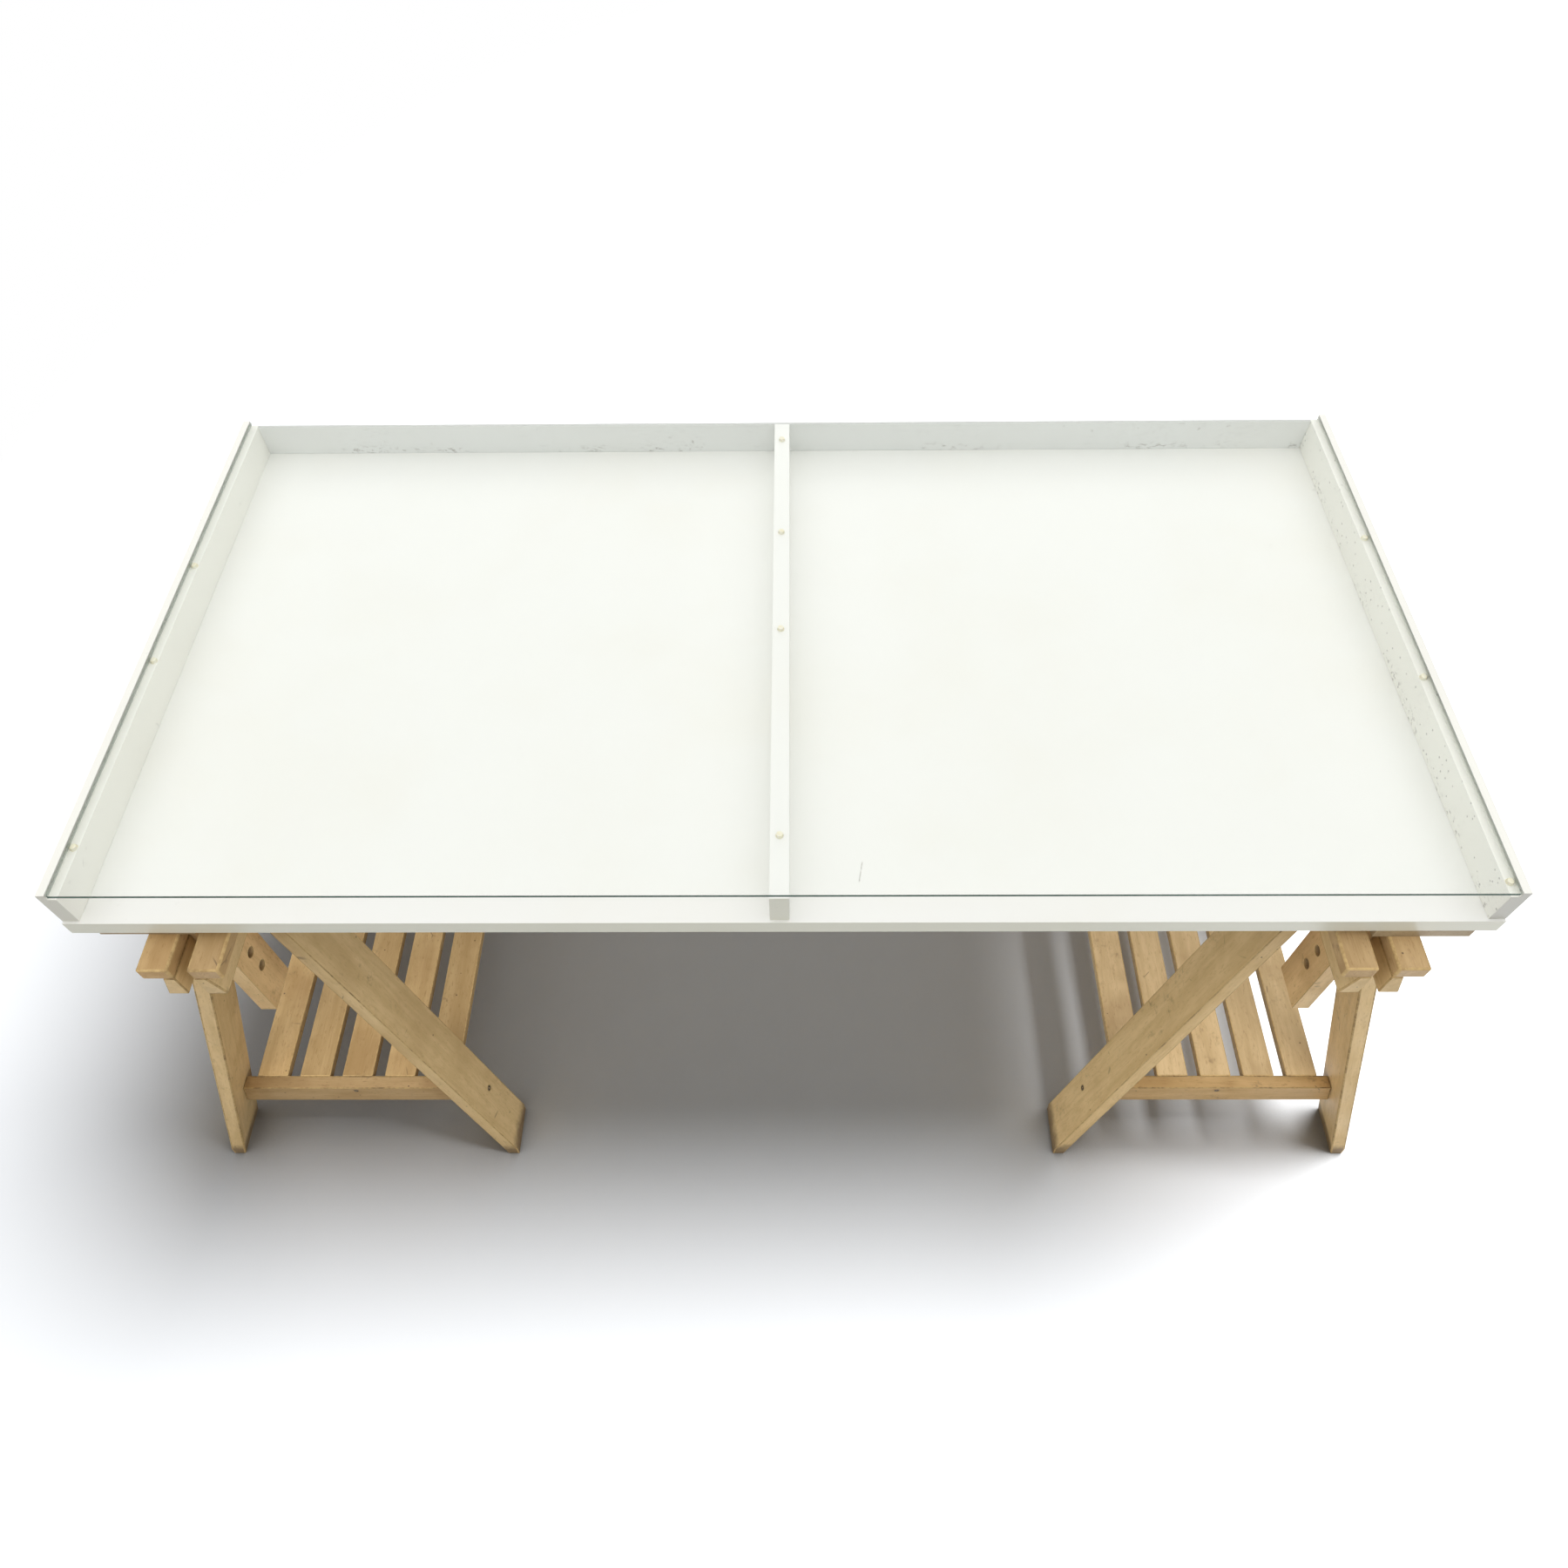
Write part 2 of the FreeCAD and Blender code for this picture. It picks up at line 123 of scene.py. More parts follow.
class Nodes:
    """Short calls that lay out the node tree of a material or a world."""

    def __init__(self, owner: Material | bpy.types.World, output: str) -> None:
        """Start an empty tree.

        Args:
            owner: Material or world that has the tree.
            output: Blender's name for the type of its output node.
        """
        self.owner = owner
        owner.use_nodes = True
        self.tree = owner.node_tree
        self.tree.nodes.clear()
        self.output = self.add(output)

    @classmethod
    def material(cls, name: str) -> "Nodes":
        """Start an empty material."""
        return cls(bpy.data.materials.new(name), "ShaderNodeOutputMaterial")

    def add(self, kind: str, **values: object) -> bpy.types.Node:
        """Add a node and set its own properties.

        Args:
            kind: Blender's name for the node type.
            **values: Properties of the node.

        Returns:
            The new node.
        """
        node = self.tree.nodes.new(kind)
        for name, value in values.items():
            setattr(node, name, value)
        return node

    def link(self, source: Socket, target: Socket) -> None:
        """Join two sockets."""
        self.tree.links.new(source, target)

    def feed(self, node: bpy.types.Node, key: object, value: object) -> None:
        """Give an input a constant or a link.

        Args:
            node: Node that has the input.
            key: Name or number of the input.
            value: A socket to link, or a constant.
        """
        if isinstance(value, Socket):
            self.link(value, node.inputs[key])
        else:
            node.inputs[key].default_value = value

    def fed(self, kind: str, inputs: dict[str, object]) -> bpy.types.Node:
        """Add a node and feed its inputs.

        Args:
            kind: Blender's name for the node type.
            inputs: A socket or a constant for each input, by name.

        Returns:
            The new node.
        """
        node = self.add(kind)
        for key, value in inputs.items():
            self.feed(node, key, value)
        return node

    def math(self, operation: str, first: object, second: object = 0.0, third: object = 0.0) -> Socket:
        """Work out a number from up to three.

        Args:
            operation: Name of the sum, such as MULTIPLY.
            first: Socket or constant.
            second: Socket or constant.
            third: Socket or constant, for a sum such as MULTIPLY_ADD.

        Returns:
            The result.
        """
        node = self.add("ShaderNodeMath", operation=operation)
        for key, value in enumerate((first, second, third)):
            self.feed(node, key, value)
        return node.outputs[0]

    def place(self) -> Socket:
        """The piece's own coordinates, in metres."""
        return self.add("ShaderNodeTexCoord").outputs["Object"]

    def normal(self) -> Socket:
        """Direction that the surface looks."""
        return self.add("ShaderNodeNewGeometry").outputs["True Normal"]

    def split(self, vector: Socket) -> bpy.types.bpy_prop_collection:
        """The outputs X, Y and Z of a vector.

        Args:
            vector: Socket of the vector.

        Returns:
            The three outputs.
        """
        node = self.add("ShaderNodeSeparateXYZ")
        self.link(vector, node.inputs[0])
        return node.outputs

    def stretched(self, place: Socket, factors: Triple) -> Socket:
        """Coordinates times a factor along each axis; a pattern gets longer where it is under 1.

        Args:
            place: Coordinates.
            factors: Factors along X, Y and Z.

        Returns:
            The new coordinates.
        """
        node = self.add("ShaderNodeVectorMath", operation="MULTIPLY")
        self.link(place, node.inputs[0])
        node.inputs[1].default_value = factors
        return node.outputs[0]

    def openness(self, reach: float, samples: int = 6) -> Socket:
        """How open the surface lies: 1 in the open, less in corners.

        Args:
            reach: How far off another surface counts, in metres.
            samples: Rays that look for it.

        Returns:
            The openness.
        """
        node = self.add("ShaderNodeAmbientOcclusion", samples=samples)
        node.inputs["Distance"].default_value = reach
        return node.outputs["AO"]

    def seen(self) -> Socket:
        """Tell the camera's looks, also in a mirror or through glass, from light that bounces.

        Returns:
            1 for a look and 0 for a bounce.
        """
        path = self.add("ShaderNodeLightPath")
        mirrored = self.math("MAXIMUM", path.outputs["Is Glossy Ray"], path.outputs["Is Transmission Ray"])
        return self.math("MAXIMUM", path.outputs["Is Camera Ray"], mirrored)

    def mix(self, share: object, first: object, second: object) -> Socket:
        """Mix two colours.

        Args:
            share: Share of the second colour.
            first: Socket or RGBA constant.
            second: Socket or RGBA constant.

        Returns:
            The mixed colour.
        """
        node = self.add("ShaderNodeMix", data_type="RGBA")
        self.feed(node, 0, share)
        self.feed(node, 6, first)
        self.feed(node, 7, second)
        return node.outputs[2]

    def ramp(self, value: object, low: float, high: float, start: float = 0.0, stop: float = 1.0) -> Socket:
        """Spread a number smoothly between two levels.

        Args:
            value: Socket or constant.
            low: Value that gives start.
            high: Value that gives stop.
            start: Result at low.
            stop: Result at high.

        Returns:
            The spread number.
        """
        node = self.add("ShaderNodeMapRange", interpolation_type="SMOOTHSTEP")
        self.feed(node, 0, value)
        for key, number in ((1, low), (2, high), (3, start), (4, stop)):
            node.inputs[key].default_value = number
        return node.outputs[0]

    def noise(self, place: Socket, scale: float, detail: float, roughness: float, distortion: float = 0.0
              ) -> Socket:
        """A noise value over the surface.

        Args:
            place: Coordinates.
            scale: Waves in a metre of those coordinates.
            detail: Number of finer layers.
            roughness: Weight of the finer layers.
            distortion: How far the pattern is swirled.

        Returns:
            The noise, between 0 and 1.
        """
        return self.fed("ShaderNodeTexNoise", {
            "Vector": place, "Scale": scale, "Detail": detail, "Roughness": roughness,
            "Distortion": distortion}).outputs[0]

    def dots(self, place: Socket, spread: float, radius: float, spared: float, dark: float) -> Socket:
        """Small round dots scattered over the surface.

        Args:
            place: Coordinates.
            spread: Cells in a metre, of which some hold a dot.
            radius: Radius of a dot in metres.
            spared: Share of the cells without a dot.
            dark: Value within a dot.

        Returns:
            That value in the dots and 0 elsewhere.
        """
        cells = self.add("ShaderNodeTexVoronoi", feature="F1")
        self.link(place, cells.inputs["Vector"])
        cells.inputs["Scale"].default_value = spread
        chosen = self.add("ShaderNodeSeparateColor")
        self.link(cells.outputs["Color"], chosen.inputs[0])
        reach = radius * spread
        disc = self.ramp(cells.outputs["Distance"], reach * DOT_CORE, reach, dark, 0.0)
        return self.math("MULTIPLY", disc, self.ramp(chosen.outputs[0], spared, spared + DOT_FADE))

    def bump(self, height: Socket, depth: float, strength: float) -> Socket:
        """Surface relief from a height.

        Args:
            height: Height between 0 and 1.
            depth: Depth in metres that it stands for.
            strength: Share of the effect.

        Returns:
            The normal.
        """
        return self.fed("ShaderNodeBump", {
            "Strength": strength, "Distance": depth, "Height": height}).outputs[0]

    def blend(self, share: Socket, first: bpy.types.Node, second: bpy.types.Node) -> bpy.types.Node:
        """Mix two shaders.

        Args:
            share: Share of the second shader.
            first: A shader.
            second: A shader.

        Returns:
            The mixed shader.
        """
        node = self.add("ShaderNodeMixShader")
        for key, source in enumerate((share, first.outputs[0], second.outputs[0])):
            self.link(source, node.inputs[key])
        return node

    def surface(self, shader: bpy.types.Node) -> Material | bpy.types.World:
        """Show a shader on the surface and hand back what it belongs to."""
        self.link(shader.outputs[0], self.output.inputs["Surface"])
        return self.owner


def rgba(colour: Colour) -> tuple[float, float, float, float]:
    """A colour with full cover."""
    return (*colour, 1.0)


class Shade(Enum):
    """The darker colours of the wood, by their names in BirchFinish."""

    DEEP = "deep"
    STREAK = "streak"


@dataclass(frozen=True)
class Layer:
    """One layer of the wood's figure: noise that mixes in a darker colour."""

    along: float
    scale: float
    detail: float
    roughness: float
    swirl: float
    low: float
    high: float
    share: float
    shade: Shade

    def noise(self, nodes: Nodes, place: Socket) -> Socket:
        """The layer's noise.

        Args:
            nodes: Node tree that is being laid out.
            place: Coordinates with the grain along X.

        Returns:
            The noise, between 0 and 1.
        """
        drawn = nodes.stretched(place, (self.along, 1.0, 1.0))
        return nodes.noise(drawn, self.scale, self.detail, self.roughness, self.swirl)


WOOD_LAYERS = {
    "figure": Layer(along=0.07, scale=46.0, detail=4.0, roughness=0.55, swirl=0.9,
                    low=0.34, high=0.70, share=0.75, shade=Shade.DEEP),
    "mottle": Layer(along=0.30, scale=95.0, detail=4.0, roughness=0.65, swirl=0.4,
                    low=0.44, high=0.70, share=0.50, shade=Shade.DEEP),
    "fine": Layer(along=0.07, scale=260.0, detail=3.0, roughness=0.60, swirl=0.0,
                  low=0.50, high=0.74, share=0.40, shade=Shade.DEEP),
    "pores": Layer(along=0.035, scale=900.0, detail=1.0, roughness=0.50, swirl=0.0,
                   low=0.60, high=0.76, share=0.34, shade=Shade.STREAK),
    "cloud": Layer(along=1.0, scale=9.0, detail=3.0, roughness=0.60, swirl=0.0,
                   low=0.47, high=0.74, share=0.50, shade=Shade.STREAK),
    "ticks": Layer(along=0.30, scale=330.0, detail=2.0, roughness=0.60, swirl=0.0,
                   low=0.57, high=0.72, share=0.45, shade=Shade.STREAK)}


@dataclass(frozen=True)
class BirchFinish:
    """Birch under a worn clear matt lacquer."""

    pale: Colour = (0.690, 0.500, 0.248)
    deep: Colour = (0.540, 0.375, 0.166)
    streak: Colour = (0.370, 0.230, 0.090)
    # Colour of grime, also used for the painted shade in corners and holes.
    grime: Colour = (0.105, 0.062, 0.032)
    # Brightness of the board: its own tone together with painted light and shade.
    tone: float = 1.0
    warmth: float = 1.0
    hue: float = 0.5
    # How dark corners and holes get: painted shade, partly dirt.
    hollow: float = 0.42
    scuffs: float = 0.55
    edge_wear: float = 0.66
    roughness: float = 0.52
    tone_spread: float = 0.20
    board_shift: float = 37.0
    specular: float = 0.35
    edge_specular: float = 0.3
    relief: float = 0.25 * MM
    edge_relief: float = 0.3 * MM
    # Reach of the painted shade in corners and holes.
    crease_reach: float = 14 * MM
    foot_wear: float = 46 * MM
    foot_ragged: float = 40 * MM
    foot_dark: float = 0.80
    pin_radius: float = 1.5 * MM
    pin_spread: float = 52.0
    pin_spared: float = 0.60
    pin_dark: float = 0.85
    scratch_width: float = 0.8 * MM
    scratch_spread: float = 15.0
    scratch_dark: float = 0.6
    scratch_patch: Pattern = Pattern(26.0, 2.0, 0.5)
    blotch: Pattern = Pattern(21.0, 4.0, 0.7)
    fleck: Pattern = Pattern(130.0, 2.0, 0.6)
    edge_patch: Pattern = Pattern(24.0, 4.0, 0.7)
    edge_fleck: Pattern = Pattern(210.0, 3.0, 0.6)

    def grain_turn(self, grain: Grain, side: int, end: int) -> Matrix:
        """Turn that brings the grain onto the X axis.

        Args:
            grain: Direction of the board's grain.
            side: Sign of a leg's lean outwards along X.
            end: Sign of a leg's lean outwards along Y.

        Returns:
            A turn for the texture's coordinates.
        """
        ways = {Grain.ALONG_X: Vector((1, 0, 0)), Grain.ALONG_Y: Vector((0, 1, 0)),
                Grain.ALONG_Z: Vector((0, 0, 1)),
                Grain.ALONG_LEG: Vector((side * math.tan(LEG_LEAN), end * math.tan(LEG_RAKE), -1))}
        way = ways[grain].normalized()
        return way.rotation_difference(Vector((1, 0, 0))).to_matrix()

    def material(self, name: str, grain: Grain, side: int = 1, end: int = 1) -> Material:
        """Make the finish for boards with one grain direction.

        Args:
            name: Name of the material.
            grain: Direction of the grain.
            side: Sign of a leg's lean along X.
            end: Sign of a leg's lean along Y.

        Returns:
            The material.
        """
        nodes = Nodes.material(name)
        place = nodes.place()
        own = nodes.add("ShaderNodeObjectInfo").outputs["Random"]
        turned = nodes.fed("ShaderNodeMapping", {
            "Vector": place, "Rotation": self.grain_turn(grain, side, end).to_euler()})
        shift = nodes.add("ShaderNodeVectorMath", operation="ADD")
        nodes.link(turned.outputs[0], shift.inputs[0])
        nodes.link(nodes.math("MULTIPLY", own, self.board_shift), shift.inputs[1])
        grainwise = shift.outputs[0]
        wood: object = rgba(self.pale)
        noises: dict[str, Socket] = {}
        for key, layer in WOOD_LAYERS.items():
            noises[key] = layer.noise(nodes, grainwise)
            wood = nodes.mix(nodes.ramp(noises[key], layer.low, layer.high, 0.0, layer.share), wood,
                             rgba(getattr(self, layer.shade.value)))
        tone = nodes.fed("ShaderNodeHueSaturation", {
            "Color": wood, "Saturation": self.warmth, "Hue": self.hue,
            "Value": nodes.math("MULTIPLY_ADD", own, self.tone_spread, self.tone - self.tone_spread / 2)})
        # Dark share: dirt, knocks and the painted shade in corners and holes.
        darkened_share = nodes.math("MAXIMUM", self.dirt(nodes, place, grainwise, grain),
                             self.knocks(nodes, grainwise))
        relief = nodes.math("ADD", nodes.math("MULTIPLY", noises["fine"], 0.6),
                            nodes.math("MULTIPLY", noises["pores"], 0.4))
        return nodes.surface(nodes.fed("ShaderNodeBsdfPrincipled", {
            "Base Color": nodes.mix(darkened_share, tone.outputs[0], rgba(self.grime)),
            "Roughness": nodes.ramp(noises["cloud"], 0.3, 0.7, self.roughness - 0.09, self.roughness + 0.10),
            "Specular IOR Level": self.specular,
            "Normal": nodes.bump(relief, self.relief, 0.45)}))

    def edge(self, name: str) -> Material:
        """Make the finish of the eased edges, where hands and feet have left a dark line.

        Args:
            name: Name of the material.

        Returns:
            The material.
        """
        nodes = Nodes.material(name)
        place = nodes.place()
        patch = nodes.noise(place, *self.edge_patch)
        fleck = nodes.noise(place, *self.edge_fleck)
        rubbed = nodes.mix(nodes.ramp(fleck, 0.40, 0.70, 0.0, 0.6), rgba(self.deep), rgba(self.streak))
        darkened_share = nodes.math("MULTIPLY", nodes.ramp(patch, 0.43, 0.70),
                             nodes.ramp(fleck, 0.30, 0.62, 0.2, self.edge_wear))
        return nodes.surface(nodes.fed("ShaderNodeBsdfPrincipled", {
            "Base Color": nodes.mix(darkened_share, rubbed, rgba(self.grime)),
            "Roughness": nodes.ramp(patch, 0.3, 0.7, self.roughness, self.roughness + 0.2),
            "Specular IOR Level": self.edge_specular,
            "Normal": nodes.bump(fleck, self.edge_relief, 0.5)}))

    def knocks(self, nodes: Nodes, place: Socket) -> Socket:
        """Share of dark in old pin holes, dents and short scratches.

        Args:
            nodes: Node tree that is being laid out.
            place: Coordinates, different on each board.

        Returns:
            The share of dark.
        """
        dots = nodes.dots(place, self.pin_spread, self.pin_radius, self.pin_spared, self.pin_dark)
        lines = nodes.add("ShaderNodeTexVoronoi", feature="DISTANCE_TO_EDGE")
        nodes.link(place, lines.inputs["Vector"])
        lines.inputs["Scale"].default_value = self.scratch_spread
        width = self.scratch_width * self.scratch_spread
        patch = nodes.noise(place, *self.scratch_patch)
        thin = nodes.ramp(lines.outputs["Distance"], width * LINE_CORE, width, self.scratch_dark, 0.0)
        scratches = nodes.math("MULTIPLY", thin, nodes.ramp(patch, 0.62, 0.70))
        return nodes.math("MAXIMUM", dots, scratches)

    def dirt(self, nodes: Nodes, place: Socket, grainwise: Socket, grain: Grain) -> Socket:
        """Share of grime and painted shade: scuffs, darkening in corners and holes that is partly dirt and
        partly painted shade, and dark worn feet on the legs.

        Args:
            nodes: Node tree that is being laid out.
            place: Coordinates in the part's frame.
            grainwise: Coordinates turned along the grain.
            grain: Direction of the grain.

        Returns:
            The share of grime.
        """
        blotch = nodes.noise(grainwise, *self.blotch)
        fleck = nodes.noise(grainwise, *self.fleck)
        scuffs = nodes.math("MULTIPLY", nodes.ramp(blotch, 0.54, 0.76),
                            nodes.ramp(fleck, 0.46, 0.70, 0.0, self.scuffs))
        # Painted shade: corners and holes close to another surface darken towards the grime colour, partly
        # dirt and partly shade.
        crease_shade = nodes.math("MULTIPLY", nodes.ramp(nodes.openness(self.crease_reach), 0.35, 0.85, 1.0, 0.0),
                            nodes.ramp(fleck, 0.30, 0.62, self.hollow * self.hollow, self.hollow))
        share = nodes.math("MAXIMUM", scuffs, crease_shade)
        if grain is not Grain.ALONG_LEG:
            return share
        ragged = nodes.math("MULTIPLY_ADD", blotch, self.foot_ragged, -self.foot_wear)
        height = nodes.math("ADD", nodes.split(place)["Z"], ragged)
        return nodes.math("MAXIMUM", share, nodes.ramp(height, -14 * MM, 10 * MM, self.foot_dark, 0.0))


@dataclass(frozen=True)
class TrestleFinish:
    """The birch of one trestle, board by board; its tones are partly the boards' own and partly painted
    light and shade.
    """

    legs: BirchFinish
    shelf: BirchFinish
    rail: BirchFinish
    head: BirchFinish
    post: BirchFinish


LEG_STREAK = (0.450, 0.300, 0.130)
# Tones are partly the boards' own and partly painted light and shade: the posts are lightened against the
# tray's shade, most left boards are darker than their right copies, and the posts' strong hollow darkens
# their peg holes.
TRESTLE_FINISHES = {
    Side.LEFT: TrestleFinish(
        legs=BirchFinish(tone=1.04, streak=LEG_STREAK),
        shelf=BirchFinish(tone=0.77, warmth=1.05, hue=0.494, hollow=0.2, edge_wear=0.30),
        rail=BirchFinish(tone=0.96, warmth=1.04, hue=0.492, scuffs=0.80),
        head=BirchFinish(tone=0.73, warmth=1.07, hue=0.491, hollow=0.12, edge_wear=0.40),
        post=BirchFinish(tone=1.34, hue=0.496, hollow=0.85)),
    Side.RIGHT: TrestleFinish(
        legs=BirchFinish(tone=1.10, streak=LEG_STREAK),
        shelf=BirchFinish(tone=0.90, warmth=0.93, hue=0.498, tone_spread=0.10, hollow=0.2, edge_wear=0.30),
        rail=BirchFinish(tone=1.0, warmth=1.08, hue=0.492, scuffs=0.80),
        head=BirchFinish(tone=0.79, warmth=1.04, hue=0.492, hollow=0.12, edge_wear=0.40),
        post=BirchFinish(tone=1.26, hue=0.496, hollow=0.85))}


@dataclass(frozen=True)
class LacquerFinish:
    """White satin lacquer with faint handling marks, and dust and painted shade in its corners; ends cut
    towards the front are creamier or greyer, partly their own colour and partly painted shade.
    """

    white: Colour = (0.868, 0.866, 0.832)
    cream: Colour = (0.845, 0.830, 0.768)
    # Colour of faces that look to the front: partly the ends' own colour, partly painted shade.
    cut: Colour = (0.775, 0.765, 0.690)
    raw_edge: bool = False
    raw: Colour = (0.56, 0.56, 0.54)
    # Colour of handling marks, also of the dust and painted shade in corners.
    mark: Colour = (0.42, 0.40, 0.36)
    roughness: float = 0.34
    marks: float = 0.30
    patches: float = 0.56
    foot: float = 0.732
    foot_reach: float = 16 * MM
    scuffed_side: Triple | None = None
    foot_marks: float = 0.65
    # Reach of the dust and painted shade in corners.
    dust_reach: float = 3 * MM
    spray_depth: float = 0.12 * MM
    specular: float = 0.4
    specks: float = 0.0
    speck_spared: float = 0.55
    speck_radius: float = 1.6 * MM
    speck_spread: float = 105.0
    nick: tuple[float, float] | None = None
    nick_lean: float = 0.17
    nick_half: float = 14 * MM
    nick_width: float = 1.1 * MM
    nick_dark: float = 0.7
    nick_breaks: Pattern = Pattern(260.0, 2.0, 0.5)
    cloud: Pattern = Pattern(3.2, 4.0, 0.6)
    spray: Pattern = Pattern(420.0, 2.0, 0.5)
    speck: Pattern = Pattern(75.0, 3.0, 0.7)
    patch: Pattern = Pattern(5.5, 3.0, 0.6)
    lot: Pattern = Pattern(11.0, 2.0, 0.5)
    dash: Pattern = Pattern(300.0, 3.0, 0.65)
    dash_stretch: Triple = (0.45, 0.45, 1.0)

    def material(self, name: str) -> Material:
        """Make the finish.

        Args:
            name: Name of the material.

        Returns:
            The material.
        """
        nodes = Nodes.material(name)
        place = nodes.place()
        cloud = nodes.noise(place, *self.cloud)
        spray = nodes.noise(place, *self.spray)
        speck = nodes.noise(place, *self.speck)
        patch = nodes.noise(place, *self.patch)
        paint = nodes.mix(nodes.ramp(cloud, 0.42, 0.72, 0.0, 0.55), rgba(self.white), rgba(self.cream))
        marked = nodes.math("MULTIPLY", nodes.ramp(speck, 0.62, 0.74),
                            nodes.ramp(patch, self.patches, self.patches + 0.16, 0.0, self.marks))
        normal = nodes.normal()
        if self.scuffed_side is not None:
            marked = nodes.math("MAXIMUM", marked, self.kicks(nodes, place, normal))
        if self.nick is not None:
            marked = nodes.math("MAXIMUM", marked, self.scratch(nodes, place))
        # Dust and painted shade: surfaces within a few millimetres of another darken towards the mark
        # colour, speckled.
        dust_and_shade = nodes.math("MULTIPLY", nodes.ramp(nodes.openness(self.dust_reach), 0.35, 0.75, 1.0, 0.0),
                          nodes.ramp(speck, 0.35, 0.65, 0.02, 0.14))
        outward = nodes.split(normal)
        if self.raw_edge:
            paint = nodes.mix(nodes.ramp(outward["Z"], 0.5, 0.8), paint, rgba(self.raw))
        else:
            # Faces looking to the front take the cut colour: partly their own colour, partly painted shade.
            paint = nodes.mix(nodes.ramp(outward["Y"], -0.8, -0.5, 1.0, 0.0), paint, rgba(self.cut))
        paint = nodes.mix(nodes.math("MAXIMUM", marked, dust_and_shade), paint, rgba(self.mark))
        return nodes.surface(nodes.fed("ShaderNodeBsdfPrincipled", {
            "Base Color": paint,
            "Roughness": nodes.ramp(cloud, 0.3, 0.7, self.roughness - 0.05, self.roughness + 0.08),
            "Specular IOR Level": self.specular,
            "Normal": nodes.bump(spray, self.spray_depth, 0.18)}))

    def kicks(self, nodes: Nodes, place: Socket, normal: Socket) -> Socket:
        """Share of dark in the scuffs along a wall's foot and the specks above, on its scuffed side.

        Args:
            nodes: Node tree that is being laid out.
            place: Coordinates in the part's frame.
            normal: Direction that the surface looks.

        Returns:
            The share of dark.
        """
        low = nodes.ramp(nodes.split(place)["Z"], self.foot + self.foot_reach * 0.3,
                         self.foot + self.foot_reach, 1.0, 0.12)
        dash = nodes.noise(nodes.stretched(place, self.dash_stretch), *self.dash)
        lot = nodes.noise(place, *self.lot)
        dashes = nodes.math("MULTIPLY", nodes.ramp(dash, 0.545, 0.625), nodes.ramp(lot, 0.42, 0.58))
        kicked = nodes.math("MULTIPLY", dashes, nodes.math("MULTIPLY", low, self.foot_marks))
        specks = nodes.dots(place, self.speck_spread, self.speck_radius, self.speck_spared, self.specks)
        looking = nodes.add("ShaderNodeVectorMath", operation="DOT_PRODUCT")
        nodes.link(normal, looking.inputs[0])
        looking.inputs[1].default_value = self.scuffed_side
        return nodes.math("MULTIPLY", nodes.math("MAXIMUM", kicked, specks),
                          nodes.ramp(looking.outputs["Value"], 0.3, 0.6))

    def scratch(self, nodes: Nodes, place: Socket) -> Socket:
        """Share of dark in one short scratch.

        Args:
            nodes: Node tree that is being laid out.
            place: Coordinates in the part's frame.

        Returns:
            The share of dark.
        """
        split = nodes.split(place)
        along = nodes.math("SUBTRACT", split["Y"], self.nick[1])
        aside = nodes.math("SUBTRACT", split["X"], self.nick[0])
        aside = nodes.math("SUBTRACT", aside, nodes.math("MULTIPLY", along, self.nick_lean))
        line = nodes.ramp(nodes.math("ABSOLUTE", aside), self.nick_width * LINE_CORE, self.nick_width,
                          self.nick_dark, 0.0)
        ends = nodes.ramp(nodes.math("ABSOLUTE", along), self.nick_half * 0.7, self.nick_half, 1.0, 0.0)
        broken = nodes.ramp(nodes.noise(place, *self.nick_breaks), 0.36, 0.52, 0.25, 1.0)
        return nodes.math("MULTIPLY", nodes.math("MULTIPLY", line, ends), broken)


